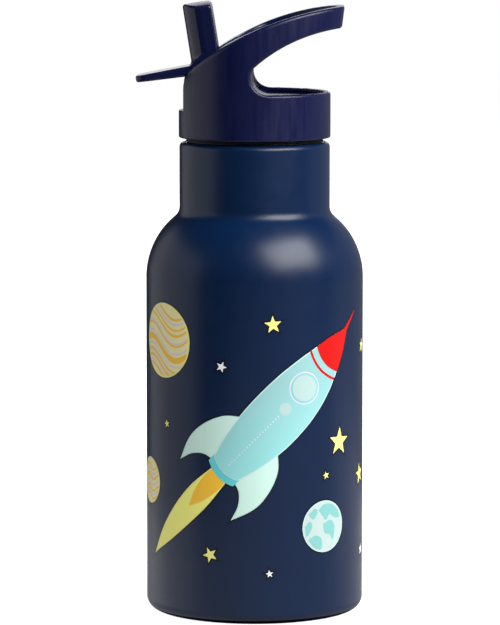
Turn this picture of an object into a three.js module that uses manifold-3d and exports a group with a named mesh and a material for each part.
// Kids water bottle: a double-wall steel flask with a screw lid, an arched carry handle
// and a flip-up drinking spout. Millimetres, +Z up. The origin is the centre of the base;
// +X is the way the handle points, and the spout's thumb lever points to -X.

import * as THREE from 'three';
import { mergeVertices } from 'three/addons/utils/BufferGeometryUtils.js';
import Module from 'manifold-3d';

const wasm = await Module();
wasm.setup();

// ---- driving dimensions --------------------------------------------------------------

const BODY_R = 35.0; // outside of the flask
const NECK_R = 24.2; // outside of its neck
const BASE_FILLET = 4.0;
const SHOULDER_Z = 108.0; // where the straight wall ends
const SHOULDER_R = 25.3; // radius of the shoulder's arc, seen from the side
const NECK_FILLET = 4.2;
const MOUTH_Z = 151.6; // top of the neck
const MOUTH_ROUND = 1.6;
const STEEL = 0.5; // sheet thickness
const BOTTOM_Z = 1.3; // underside of the bottom that closes the vacuum space

const FLASK_R = 32.2; // outside of the inner flask: the vacuum gap is what is left
const FLASK_NECK_R = 22.3;
const FLASK_FLOOR_Z = 6.5;
const FLASK_FILLET = 5.0;
const THREAD_PITCH = 4.0;
const THREAD_TOP_Z = 149.0;
const FLASK_THREAD_R = 21.1; // crest of the thread rolled into the neck

const LID_R = 24.4;
const LID_BOTTOM_Z = 153.0;
const LID_BORE_R = 22.3;
const RIM_Z = 167.8;
const RIM_WALL = 2.2;
const RIM_BEVEL = { width: 1.2, height: 0.4 };
const RIM_INNER_BEVEL = { width: 0.8, height: 0.7 };
const DECK_Z = 166.0; // recessed floor inside the rim
const DECK_THICK = 5.6; // deep enough to hold the ledge under the lever

// The handle, seen from the side: two long arcs, and a round end to the finger gap.
const TOP_ARC = { x: 36.4, z: 107.5, r: 88.2 };
const UNDER_ARC = { x: 32.5, z: 140.4, r: 48.25 };
const GAP_ARC = { x: 4.8, z: RIM_Z + 5.6, r: 5.6 };
const TIP_LOW_X = 28.0;
const TIP_HIGH_X = 28.9;
const HANDLE_REACH = 31.0; // half length of the handle's oval, seen from above
const CHEEK_X = -22.83; // where the spout slot's sides meet the lid's round wall
const CHEEK_ROUND = 4.2; // radius where the cheeks' front edge turns into their top
const TRAY_RIM = 3.0;
const TRAY_REACH = 26.2;
const TRAY_DEPTH = 3.5;
const TRAY_BACK_X = -6.0;
const TRAY_MIDDLE_X = 4.0;

const PIVOT = { x: -15.2, z: 174.6 };
const SPOUT_TILT = 9.0; // degrees that the open mouthpiece leans towards -X
const SPOUT_CLOSE = 66; // degrees that it folds down into the handle
const SPOUT_LENGTH = 22.0; // pivot to tip
const SPOUT_HALF_THICK = 4.65;
const SPOUT_HALF_WIDTH = 8.2;
const SPOUT_CROWN = 1.4;
const BARREL_R = 5.0;
const TRUNNION_R = 2.2;
const TRUNNION_END_Y = 10.5;
const LEVER_LENGTH = 22.9;
const LEVER_RISE = 0.85; // its middle above the pivot
const LEVER_TIP_THICK = 2.1;
const LEVER_ROOT_THICK = 3.6;
const LEVER_CORNER = 3.5;
const SPOUT_BORE_R = 2.0;

const SLOT_HALF = 8.6;
const SLOT_GAP = 0.35; // running clearance round the barrel and under the mouthpiece
const LEDGE_Z = 161.9;
const SEAT_FRONT_X = -19.0;

const FLOW_X = -14.5; // the drinking channel below the barrel
const SEAL_FLANGE_R = 4.9;
const SEAL_FLANGE_THICK = 2.8;
const SEAL_NECK_R = 3.7;
const SEAL_TOP_DROP = 3.9; // its rim below the pivot
const SOFT_GAP = 0.3; // clearance round a soft piece, and inside its bore
const STRAW_R = 3.0;
const STRAW_WALL = 0.7;
const STRAW_LOW_Z = 12.0;
const STRAW_TOP_Z = 154.7;
const SLEEVE_LOW_Z = 146.0;
const SLEEVE_R = 3.9; // of the part that grips the straw
const INSERT_R = 20.4;
const INSERT_THREAD_R = 20.9;
const INSERT_INNER_R = 18.9;
const INSERT_LOW_Z = 139.0;
const INSERT_TOP_Z = 158.0;
const INSERT_PLATE = 1.8;
const VENT_X = 9.0;
const VENT_HOLE_R = 0.8; // through the deck
const VENT_STEM_R = 1.3; // of the valve

const SIDES = 48; // facets round the flask and the lid
const SMALL_SIDES = 16; // facets round tubes, pins and bores
const FAR = 60; // reaches past the whole lid

// ---- helpers -------------------------------------------------------------------------

const radians = THREE.MathUtils.degToRad;

/** Height of an arc's upper or lower half above the X axis, at x. */
function arcHeight(arc, x, half = 1) {
  return arc.z + half * Math.sqrt(arc.r ** 2 - (x - arc.x) ** 2);
}

/** Angle of a point seen from an arc's centre. */
function angleOn(arc, x, z) {
  return Math.atan2(z - arc.z, x - arc.x);
}

/** Where two circles cross: the crossing with the smaller x. */
function leftCrossing(a, b) {
  const dx = b.x - a.x;
  const dz = b.z - a.z;
  const apart = Math.hypot(dx, dz);
  const along = (apart ** 2 + a.r ** 2 - b.r ** 2) / (2 * apart);
  const aside = Math.sqrt(a.r ** 2 - along ** 2);
  const foot = { x: a.x + (dx * along) / apart, z: a.z + (dz * along) / apart };
  const one = { x: foot.x + (dz * aside) / apart, z: foot.z - (dx * aside) / apart };
  const two = { x: foot.x - (dz * aside) / apart, z: foot.z + (dx * aside) / apart };
  return one.x < two.x ? one : two;
}

/** Points on an arc, ends included. */
function arcPoints(x, y, r, from, to, steps) {
  const points = [];
  for (let i = 0; i <= steps; i += 1) {
    const a = radians(from + ((to - from) * i) / steps);
    points.push([x + r * Math.cos(a), y + r * Math.sin(a)]);
  }
  return points;
}

/** A solid of revolution about Z: [radius, height] points, anticlockwise in that plane. */
function turned(points, sides = SIDES) {
  const closed = points[0][0] > 0 ? [...points, points[0]] : points;
  const profile = closed.map(([r, z]) => new THREE.Vector2(r, z));
  return new THREE.LatheGeometry(profile, sides).rotateX(Math.PI / 2);
}

/** A side outline (x, z) run along Y from -half to +half. */
function sideways(shape, half, curveSegments = 14) {
  const options = { depth: 2 * half, bevelEnabled: false, curveSegments };
  const geometry = new THREE.ExtrudeGeometry(shape, options);
  return geometry.rotateX(Math.PI / 2).translate(0, half, 0);
}

/** A plan outline (x, y) run up from low to high. */
function upright(shape, low, high, curveSegments = SIDES / 2) {
  const options = { depth: high - low, bevelEnabled: false, curveSegments };
  return new THREE.ExtrudeGeometry(shape, options).translate(0, 0, low);
}

function box(lowX, highX, lowY, highY, lowZ, highZ) {
  const geometry = new THREE.BoxGeometry(highX - lowX, highY - lowY, highZ - lowZ);
  return geometry.translate((lowX + highX) / 2, (lowY + highY) / 2, (lowZ + highZ) / 2);
}

/** A cylinder along Z, round the point (x, y). */
function upCylinder(x, y, r, low, high, sides = SMALL_SIDES) {
  const geometry = new THREE.CylinderGeometry(r, r, high - low, sides);
  return geometry.rotateX(Math.PI / 2).translate(x, y, (low + high) / 2);
}

/** A cylinder along Y, round the point (x, z), reaching half each way. */
function crossCylinder(x, z, r, half, sides = SMALL_SIDES) {
  return new THREE.CylinderGeometry(r, r, 2 * half, sides).translate(x, 0, z);
}

/** A closed geometry as a manifold-3d solid, for cutting and joining. */
function solid(geometry) {
  const bare = geometry.clone();
  bare.deleteAttribute('normal');
  bare.deleteAttribute('uv');
  const merged = mergeVertices(bare);
  return new wasm.Manifold(new wasm.Mesh({
    numProp: 3,
    vertProperties: new Float32Array(merged.attributes.position.array),
    triVerts: new Uint32Array(merged.index.array),
  }));
}

/** A solid back as a geometry. */
function geometryOf(manifold) {
  const mesh = manifold.getMesh();
  const geometry = new THREE.BufferGeometry();
  geometry.setAttribute('position', new THREE.BufferAttribute(mesh.vertProperties, 3));
  geometry.setIndex(new THREE.BufferAttribute(mesh.triVerts, 1));
  geometry.computeVertexNormals();
  return geometry;
}

// ---- materials -----------------------------------------------------------------------

const NAVY_PAINT = { color: 0x0b1738, roughness: 0.42, metalness: 0.0 };
const NAVY_PLASTIC = { color: 0x14173f, roughness: 0.35, metalness: 0.0 };
const BARE_STEEL = { color: 0xb9bcc0, roughness: 0.28, metalness: 1.0 };
const DARK_SILICONE = { color: 0x1c1d22, roughness: 0.6, metalness: 0.0 };
const CLEAR_SILICONE = { color: 0xd9dcdd, roughness: 0.5, metalness: 0.0 };
const STRAW_PLASTIC = { color: 0xdfe6e8, roughness: 0.3, metalness: 0.0 };
const GETTER_METAL = { color: 0x6d6f73, roughness: 0.6, metalness: 1.0 };
const SEAL_GLASS = { color: 0x5d6d66, roughness: 0.15, metalness: 0.0 };

const bottle = new THREE.Group();

function addPart(name, geometry, look) {
  const mesh = new THREE.Mesh(geometry, new THREE.MeshStandardMaterial(look));
  mesh.name = name;
  bottle.add(mesh);
  return mesh;
}

// ---- flask ---------------------------------------------------------------------------

/**
 * One side of a flask wall, from the top of its base round to the neck's straight part:
 * a base round, a straight wall, the shoulder arc and a hollow round into the neck.
 * `inset` is how far inside the painted surface it lies.
 */
function wallPoints(inset, neckR, baseZ, baseRound, steps) {
  const r = BODY_R - inset;
  const arcR = SHOULDER_R - inset;
  const centreR = BODY_R - SHOULDER_R;
  const hollow = NECK_FILLET;
  const reach = neckR + hollow - centreR;
  const rise = Math.sqrt((arcR + hollow) ** 2 - reach ** 2);
  const turn = THREE.MathUtils.radToDeg(Math.atan2(rise, reach));
  return [
    ...arcPoints(r - baseRound, baseZ + baseRound, baseRound, -90, 0, 3),
    ...arcPoints(centreR, SHOULDER_Z, arcR, 0, turn, steps),
    ...arcPoints(neckR + hollow, SHOULDER_Z + rise, hollow, turn + 180, 180, 2).slice(1),
  ];
}

function outerShell() {
  const outside = wallPoints(0, NECK_R, 0, BASE_FILLET, 7);
  const inside = wallPoints(STEEL, NECK_R - STEEL, STEEL, BASE_FILLET - STEEL, 4);
  const mouthZ = MOUTH_Z - MOUTH_ROUND;
  const mouthR = NECK_R - MOUTH_ROUND;
  const footR = BODY_R - BASE_FILLET - 1.0;
  return turned([
    [footR, 0],
    ...outside,
    ...arcPoints(mouthR, mouthZ, MOUTH_ROUND, 0, 90, 3),
    ...arcPoints(mouthR, mouthZ, MOUTH_ROUND - STEEL, 90, 0, 2),
    ...inside.reverse(),
    [footR, STEEL],
  ]);
}

/** The flask's rolled thread, as rings on the inside of the neck, from the top down. */
function flaskThread(wallR) {
  const points = [];
  for (let turn = 0; turn < 3; turn += 1) {
    const z = THREAD_TOP_Z - turn * THREAD_PITCH;
    points.push([wallR, z], [FLASK_THREAD_R, z - 0.8], [wallR, z - 1.6]);
  }
  return points;
}

function innerFlask() {
  const outset = BODY_R - FLASK_R;
  const innerNeckR = FLASK_NECK_R - STEEL;
  const outside = wallPoints(outset, FLASK_NECK_R, FLASK_FLOOR_Z, FLASK_FILLET, 5);
  const floorZ = FLASK_FLOOR_Z + STEEL;
  const inside = wallPoints(outset + STEEL, innerNeckR, floorZ, FLASK_FILLET - STEEL, 5);
  return turned([
    [0, FLASK_FLOOR_Z],
    ...outside,
    [FLASK_NECK_R, MOUTH_Z],
    [innerNeckR, MOUTH_Z],
    ...flaskThread(innerNeckR),
    ...inside.reverse(),
    [0, floorZ],
  ]);
}

/** The pressed bottom that closes the vacuum space, with its pumping port. */
function vacuumBottom() {
  const portR = 1.0;
  const dimple = { r: 5.0, footR: 6.0, z: BOTTOM_Z + 1.3 };
  const plateR = 31.2;
  const flange = { r: 33.4, lowZ: 3.4, highZ: 6.0 };
  const bend = 0.3; // how far a bend's upper corner lies from its lower one
  return turned([
    [portR, dimple.z],
    [dimple.r, dimple.z],
    [dimple.footR, BOTTOM_Z],
    [plateR, BOTTOM_Z],
    [flange.r, flange.lowZ],
    [flange.r, flange.highZ],
    [flange.r - STEEL, flange.highZ],
    [flange.r - STEEL, flange.lowZ + bend],
    [plateR - bend, BOTTOM_Z + STEEL],
    [dimple.footR + bend, BOTTOM_Z + STEEL],
    [dimple.r + bend, dimple.z + STEEL],
    [portR, dimple.z + STEEL],
  ], 32);
}

/** Solder glass that closes the port in the vacuum bottom, inside its dimple. */
function portSeal() {
  const edgeR = 2.6;
  const topR = 3.0;
  const topZ = BOTTOM_Z + 1.0;
  return turned([[0, BOTTOM_Z], [edgeR, BOTTOM_Z + 0.2], [topR, topZ], [0, topZ]], SMALL_SIDES);
}

function baseCover() {
  const r = BODY_R - BASE_FILLET - 1.3;
  const thick = 0.6;
  return turned([[0, 0], [r, 0], [r, thick], [0, thick]]);
}

/** Gas-absorbing pellet case, welded under the inner flask. */
function getterCase() {
  const lowZ = 4.3;
  const highZ = FLASK_FLOOR_Z - 0.3;
  const r = 5.0;
  const edge = 0.5;
  const place = 14; // from the bottle's axis
  return turned([
    [0, lowZ],
    [r - edge, lowZ],
    [r, lowZ + edge],
    [r, highZ],
    [0, highZ],
  ], SMALL_SIDES).translate(place, 0, 0);
}

// ---- lid -----------------------------------------------------------------------------

/** The handle and cheeks, seen from the side. */
function handleSide() {
  const meet = leftCrossing(GAP_ARC, UNDER_ARC);
  const tipLowZ = arcHeight(UNDER_ARC, TIP_LOW_X);
  const tipHighZ = arcHeight(TOP_ARC, TIP_HIGH_X);
  const round = { x: CHEEK_X + CHEEK_ROUND, r: CHEEK_ROUND };
  round.z = arcHeight({ ...TOP_ARC, r: TOP_ARC.r - CHEEK_ROUND }, round.x);
  const lean = angleOn(TOP_ARC, round.x, round.z);
  const shape = new THREE.Shape();
  shape.moveTo(CHEEK_X, DECK_Z - DECK_THICK);
  shape.lineTo(GAP_ARC.x, DECK_Z - DECK_THICK);
  shape.lineTo(GAP_ARC.x, RIM_Z);
  shape.absarc(GAP_ARC.x, GAP_ARC.z, GAP_ARC.r,
    -Math.PI / 2, angleOn(GAP_ARC, meet.x, meet.z), true);
  shape.absarc(UNDER_ARC.x, UNDER_ARC.z, UNDER_ARC.r,
    angleOn(UNDER_ARC, meet.x, meet.z), angleOn(UNDER_ARC, TIP_LOW_X, tipLowZ), true);
  shape.absarc(TOP_ARC.x, TOP_ARC.z, TOP_ARC.r,
    angleOn(TOP_ARC, TIP_HIGH_X, tipHighZ), lean, false);
  shape.absarc(round.x, round.z, round.r, lean, Math.PI, false);
  return shape;
}

/** The handle seen from above: half the lid's circle, then a longer half oval. */
function handlePlan(inset) {
  const shape = new THREE.Shape();
  shape.absarc(0, 0, LID_R - inset, Math.PI / 2, (3 * Math.PI) / 2, false);
  shape.absellipse(0, 0, HANDLE_REACH - inset, LID_R - inset, -Math.PI / 2, Math.PI / 2, false);
  return shape;
}

/** The way the mouthpiece points once it is folded down, in radians above +X. */
const closedAngle = radians(90 + SPOUT_TILT - SPOUT_CLOSE);

/** The space that the spout turns in, seen from the side. */
function slotSide() {
  const seatR = BARREL_R + SLOT_GAP;
  const sweepR = Math.hypot(SPOUT_LENGTH, SPOUT_HALF_THICK) + 0.45;
  const below = SPOUT_HALF_THICK + SLOT_GAP;
  const seat = { x: PIVOT.x, z: PIVOT.z, r: seatR };
  const frontZ = arcHeight(seat, SEAT_FRONT_X, -1);
  const floorStart = closedAngle - Math.asin(below / seatR);
  const floorEnd = closedAngle - Math.asin(below / sweepR);
  const sweepTop = radians(50);
  const shape = new THREE.Shape();
  shape.moveTo(-FAR, LEDGE_Z);
  shape.lineTo(SEAT_FRONT_X, LEDGE_Z);
  shape.lineTo(SEAT_FRONT_X, frontZ);
  shape.absarc(PIVOT.x, PIVOT.z, seatR,
    angleOn(seat, SEAT_FRONT_X, frontZ), floorStart, false);
  shape.absarc(PIVOT.x, PIVOT.z, sweepR, floorEnd, sweepTop, false);
  shape.lineTo(PIVOT.x + sweepR * Math.cos(sweepTop), MOUTH_Z + FAR);
  shape.lineTo(-FAR, MOUTH_Z + FAR);
  return shape;
}

/** The dished top of the handle: its outline from above, as deep as TRAY_DEPTH. */
function tray() {
  const plan = new THREE.Shape();
  const half = LID_R - TRAY_RIM;
  const start = Math.acos(TRAY_MIDDLE_X / TRAY_REACH);
  const side = half * Math.sin(start);
  plan.absellipse(0, 0, TRAY_REACH, half, -start, start, false);
  plan.absellipse(TRAY_MIDDLE_X, 0, TRAY_MIDDLE_X - TRAY_BACK_X, side,
    Math.PI / 2, (3 * Math.PI) / 2, false);
  const floor = new THREE.Shape();
  floor.absarc(TOP_ARC.x, TOP_ARC.z, TOP_ARC.r - TRAY_DEPTH, 0, 2 * Math.PI, false);
  const outline = solid(upright(plan, RIM_Z, RIM_Z + FAR));
  return outline.subtract(solid(sideways(floor, FAR, 120)));
}

/** The hollow moulded up into each cheek from below, to keep the walls even. */
function cheekPockets() {
  const wall = 2.2;
  const slopeR = TOP_ARC.r - wall;
  const side = new THREE.Shape();
  const low = DECK_Z - DECK_THICK - 1;
  const leftX = CHEEK_X + wall;
  const rightX = GAP_ARC.x - GAP_ARC.r - wall;
  const lidded = { x: TOP_ARC.x, z: TOP_ARC.z, r: slopeR };
  side.moveTo(leftX, low);
  side.lineTo(rightX, low);
  side.absarc(TOP_ARC.x, TOP_ARC.z, slopeR,
    angleOn(lidded, rightX, arcHeight(lidded, rightX)),
    angleOn(lidded, leftX, arcHeight(lidded, leftX)), false);
  const core = solid(sideways(side, LID_R, 10));
  const middleY = TRUNNION_END_Y + wall;
  const middle = solid(box(-FAR, FAR, -middleY, middleY, 0, 2 * RIM_Z));
  const round = solid(upCylinder(0, 0, LID_R - wall, 0, 2 * RIM_Z, SIDES));
  return core.intersect(round).subtract(middle);
}

/** The recess inside the bevelled rim, with the same round end as the finger gap. */
function deckRecess() {
  const r = LID_R - RIM_WALL;
  const lowZ = DECK_Z - 1;
  const bevelTopZ = RIM_Z + 0.2;
  const topZ = RIM_Z + GAP_ARC.r;
  const round = turned([
    [0, lowZ],
    [r, lowZ],
    [r, RIM_Z - RIM_INNER_BEVEL.height],
    [r + RIM_INNER_BEVEL.width, RIM_Z],
    [r + RIM_INNER_BEVEL.width, bevelTopZ],
    [r, bevelTopZ],
    [r, topZ],
    [0, topZ],
  ]);
  const lowered = DECK_Z + GAP_ARC.r;
  const side = new THREE.Shape();
  side.moveTo(GAP_ARC.x, DECK_Z);
  side.lineTo(FAR, DECK_Z);
  side.lineTo(FAR, GAP_ARC.z);
  side.lineTo(GAP_ARC.x - GAP_ARC.r, GAP_ARC.z);
  side.absarc(GAP_ARC.x, lowered, GAP_ARC.r, Math.PI, (3 * Math.PI) / 2, false);
  return solid(sideways(side, LID_R, 8)).intersect(solid(round));
}

function lidBody() {
  const collar = turned([
    [0, LID_BOTTOM_Z],
    [LID_R - 0.5, LID_BOTTOM_Z],
    [LID_R, LID_BOTTOM_Z + 0.5],
    [LID_R, RIM_Z - RIM_BEVEL.height],
    [LID_R - RIM_BEVEL.width, RIM_Z],
    [0, RIM_Z],
  ]);
  const plan = solid(upright(handlePlan(0), DECK_Z - DECK_THICK, RIM_Z + FAR));
  const handle = solid(sideways(handleSide(), LID_R + 1)).intersect(plan);
  const underDeckZ = DECK_Z - DECK_THICK;
  const sealPocketZ = underDeckZ + SEAL_FLANGE_THICK + 0.4;
  const cuts = [
    solid(upCylinder(0, 0, LID_BORE_R, LID_BOTTOM_Z - 1, underDeckZ, SIDES)),
    deckRecess(),
    solid(sideways(slotSide(), SLOT_HALF, 16)),
    tray(),
    cheekPockets(),
    solid(crossCylinder(PIVOT.x, PIVOT.z, TRUNNION_R + 0.1, TRUNNION_END_Y + 0.3)),
    solid(upCylinder(FLOW_X, 0, SEAL_FLANGE_R + SOFT_GAP, underDeckZ - 1, sealPocketZ)),
    solid(upCylinder(FLOW_X, 0, SEAL_NECK_R + SOFT_GAP, underDeckZ, PIVOT.z)),
    solid(upCylinder(VENT_X, 0, VENT_HOLE_R, underDeckZ - 1, DECK_Z + 1, 12)),
  ];
  const whole = cuts.reduce((body, cut) => body.subtract(cut), solid(collar).add(handle));
  return geometryOf(whole);
}

/** The screw plug inside the lid: a cup open at the bottom, with a clamping flange. */
function lidInsert() {
  const flangeTopZ = LID_BOTTOM_Z + 2.4;
  const thread = [];
  for (let turn = 2; turn >= 0; turn -= 1) {
    const z = THREAD_TOP_Z - turn * THREAD_PITCH + 2.0;
    thread.push([INSERT_R, z - 1.6], [INSERT_THREAD_R, z - 0.8], [INSERT_R, z]);
  }
  const cup = turned([
    [0, INSERT_TOP_Z - INSERT_PLATE],
    [INSERT_INNER_R, INSERT_TOP_Z - INSERT_PLATE],
    [INSERT_INNER_R, INSERT_LOW_Z],
    [INSERT_R, INSERT_LOW_Z],
    ...thread,
    [INSERT_R, LID_BOTTOM_Z + 0.1],
    [LID_BORE_R - 0.3, LID_BOTTOM_Z + 0.1],
    [LID_BORE_R - 0.3, flangeTopZ],
    [INSERT_R + 0.2, flangeTopZ],
    [INSERT_R + 0.2, INSERT_TOP_Z],
    [0, INSERT_TOP_Z],
  ]);
  const strawHole = upCylinder(FLOW_X, 0, SLEEVE_R + SOFT_GAP, INSERT_LOW_Z, INSERT_TOP_Z + 1);
  const ventHole = upCylinder(VENT_X, 0, VENT_STEM_R + 0.4, INSERT_LOW_Z, INSERT_TOP_Z + 1);
  return geometryOf(solid(cup).subtract(solid(strawHole)).subtract(solid(ventHole)));
}

function lidGasket() {
  const outerR = FLASK_NECK_R - 0.2;
  const lowZ = MOUTH_Z + 0.1;
  const highZ = LID_BOTTOM_Z - 0.05;
  return turned([
    [INSERT_R + 0.2, lowZ],
    [outerR - 0.2, lowZ],
    [outerR, lowZ + 0.3],
    [outerR, highZ],
    [INSERT_R + 0.2, highZ],
  ]);
}

/** The soft seat that the spout's barrel turns on, hollowed to fit it. */
function spoutSeal() {
  const boreR = SPOUT_BORE_R + SOFT_GAP;
  const lowZ = DECK_Z - DECK_THICK + 0.1;
  const flangeTopZ = lowZ + SEAL_FLANGE_THICK;
  const topZ = PIVOT.z - SEAL_TOP_DROP;
  const ring = turned([
    [boreR, lowZ],
    [SEAL_FLANGE_R, lowZ],
    [SEAL_FLANGE_R, flangeTopZ],
    [SEAL_NECK_R, flangeTopZ],
    [SEAL_NECK_R, topZ],
    [boreR, topZ],
  ], SMALL_SIDES).translate(FLOW_X, 0, 0);
  const barrel = crossCylinder(PIVOT.x, PIVOT.z, BARREL_R + SOFT_GAP, SLOT_HALF, 40);
  return geometryOf(solid(ring).subtract(solid(barrel)));
}

/** The soft sleeve that hangs under the seat and grips the straw. */
function strawSleeve() {
  const gripR = STRAW_R + 0.05;
  const boreR = SPOUT_BORE_R + SOFT_GAP;
  const topZ = DECK_Z - DECK_THICK - 0.1;
  const stopZ = STRAW_TOP_Z + SOFT_GAP;
  const headZ = INSERT_TOP_Z + 0.2;
  return turned([
    [gripR, SLEEVE_LOW_Z],
    [SLEEVE_R, SLEEVE_LOW_Z],
    [SLEEVE_R, headZ],
    [SEAL_FLANGE_R, headZ],
    [SEAL_FLANGE_R, topZ],
    [boreR, topZ],
    [boreR, stopZ],
    [gripR, stopZ],
  ], SMALL_SIDES).translate(FLOW_X, 0, 0);
}

function straw() {
  const inner = STRAW_R - STRAW_WALL;
  return turned([
    [inner, STRAW_LOW_Z],
    [STRAW_R, STRAW_LOW_Z],
    [STRAW_R, STRAW_TOP_Z],
    [inner, STRAW_TOP_Z],
  ], SMALL_SIDES).translate(FLOW_X, 0, 0);
}

/** Umbrella valve that lets air in as the drink goes out, held by its button on top. */
function ventValve() {
  const plateLowZ = INSERT_TOP_Z - INSERT_PLATE;
  const umbrellaR = 4.2;
  const buttonR = 2.1;
  return turned([
    [0, plateLowZ - 1.2],
    [2.5, plateLowZ - 1.0],
    [umbrellaR, plateLowZ - 0.5],
    [umbrellaR, plateLowZ - 0.2],
    [VENT_STEM_R, plateLowZ - 0.2],
    [VENT_STEM_R, INSERT_TOP_Z + 0.3],
    [buttonR, INSERT_TOP_Z + 0.4],
    [buttonR - 0.9, INSERT_TOP_Z + 1.6],
    [0, INSERT_TOP_Z + 1.6],
  ], SMALL_SIDES).translate(VENT_X, 0, 0);
}

// ---- spout ---------------------------------------------------------------------------

/** The mouthpiece's section: flat towards +X, with a crowned face towards -X. */
function mouthpieceSection() {
  const rise = SPOUT_HALF_THICK;
  const half = SPOUT_HALF_WIDTH;
  const crownR = (half ** 2 + rise ** 2) / (2 * rise);
  const sweep = Math.asin(half / crownR);
  const shape = new THREE.Shape();
  shape.moveTo(SPOUT_HALF_THICK, -half);
  shape.lineTo(SPOUT_HALF_THICK, half);
  shape.absarc(crownR - rise, 0, crownR, Math.PI - sweep, Math.PI + sweep, false);
  return shape;
}

/** The mouthpiece's outline across its width, with its tip rising to the middle. */
function mouthpieceFront() {
  const half = SPOUT_HALF_WIDTH;
  const crownR = (half ** 2 + SPOUT_CROWN ** 2) / (2 * SPOUT_CROWN);
  const sweep = Math.asin(half / crownR);
  const shape = new THREE.Shape();
  shape.moveTo(-half, 0);
  shape.lineTo(half, 0);
  shape.absarc(0, SPOUT_LENGTH - crownR, crownR, Math.PI / 2 - sweep, Math.PI / 2 + sweep, false);
  return shape;
}

/** The thumb lever: a blade that thins towards its tip, with round corners. */
function lever() {
  const side = new THREE.Shape();
  side.moveTo(0, LEVER_RISE - LEVER_ROOT_THICK / 2);
  side.lineTo(0, LEVER_RISE + LEVER_ROOT_THICK / 2);
  side.lineTo(-LEVER_LENGTH, LEVER_RISE + LEVER_TIP_THICK / 2);
  side.lineTo(-LEVER_LENGTH, LEVER_RISE - LEVER_TIP_THICK / 2);
  const half = SPOUT_HALF_WIDTH;
  const corner = -LEVER_LENGTH + LEVER_CORNER;
  const plan = new THREE.Shape();
  plan.moveTo(0, -half);
  plan.lineTo(0, half);
  plan.absarc(corner, half - LEVER_CORNER, LEVER_CORNER, Math.PI / 2, Math.PI, false);
  plan.absarc(corner, LEVER_CORNER - half, LEVER_CORNER, Math.PI, (3 * Math.PI) / 2, false);
  return solid(sideways(side, half)).intersect(solid(upright(plan, -5, 5, 6)));
}

/** Spout in its own frame: origin on the pivot, mouthpiece along +Z, lever along -X. */
function spoutRocker() {
  const column = solid(upright(mouthpieceSection(), 0, SPOUT_LENGTH + 1, 12));
  const front = new THREE.ExtrudeGeometry(mouthpieceFront(), {
    depth: 2 * SPOUT_HALF_WIDTH, bevelEnabled: false, curveSegments: 12,
  });
  front.rotateX(Math.PI / 2).rotateZ(Math.PI / 2).translate(-SPOUT_HALF_WIDTH, 0, 0);
  const mouthpiece = column.intersect(solid(front));
  const barrel = solid(crossCylinder(0, 0, BARREL_R, SPOUT_HALF_WIDTH, 32));
  const trunnions = solid(crossCylinder(0, 0, TRUNNION_R, TRUNNION_END_Y));
  const bore = solid(upCylinder(0, 0, SPOUT_BORE_R, -BARREL_R - 1, SPOUT_LENGTH + 1, 16));
  return geometryOf(mouthpiece.add(barrel).add(lever()).add(trunnions).subtract(bore));
}

// ---- assembly ------------------------------------------------------------------------

addPart('outer_shell', outerShell(), NAVY_PAINT);
addPart('inner_flask', innerFlask(), BARE_STEEL);
addPart('vacuum_bottom', vacuumBottom(), BARE_STEEL);
addPart('port_seal', portSeal(), SEAL_GLASS);
addPart('getter_case', getterCase(), GETTER_METAL);
addPart('base_cover', baseCover(), BARE_STEEL);

addPart('lid_body', lidBody(), NAVY_PLASTIC);
addPart('lid_insert', lidInsert(), NAVY_PLASTIC);
addPart('lid_gasket', lidGasket(), DARK_SILICONE);
addPart('spout_seal', spoutSeal(), CLEAR_SILICONE);
addPart('straw_sleeve', strawSleeve(), CLEAR_SILICONE);
addPart('straw', straw(), STRAW_PLASTIC);
addPart('vent_valve', ventValve(), CLEAR_SILICONE);

const spout = addPart('spout_rocker', spoutRocker(), NAVY_PLASTIC);
spout.position.set(PIVOT.x, 0, PIVOT.z);
spout.rotation.y = -radians(SPOUT_TILT);

export default bottle;
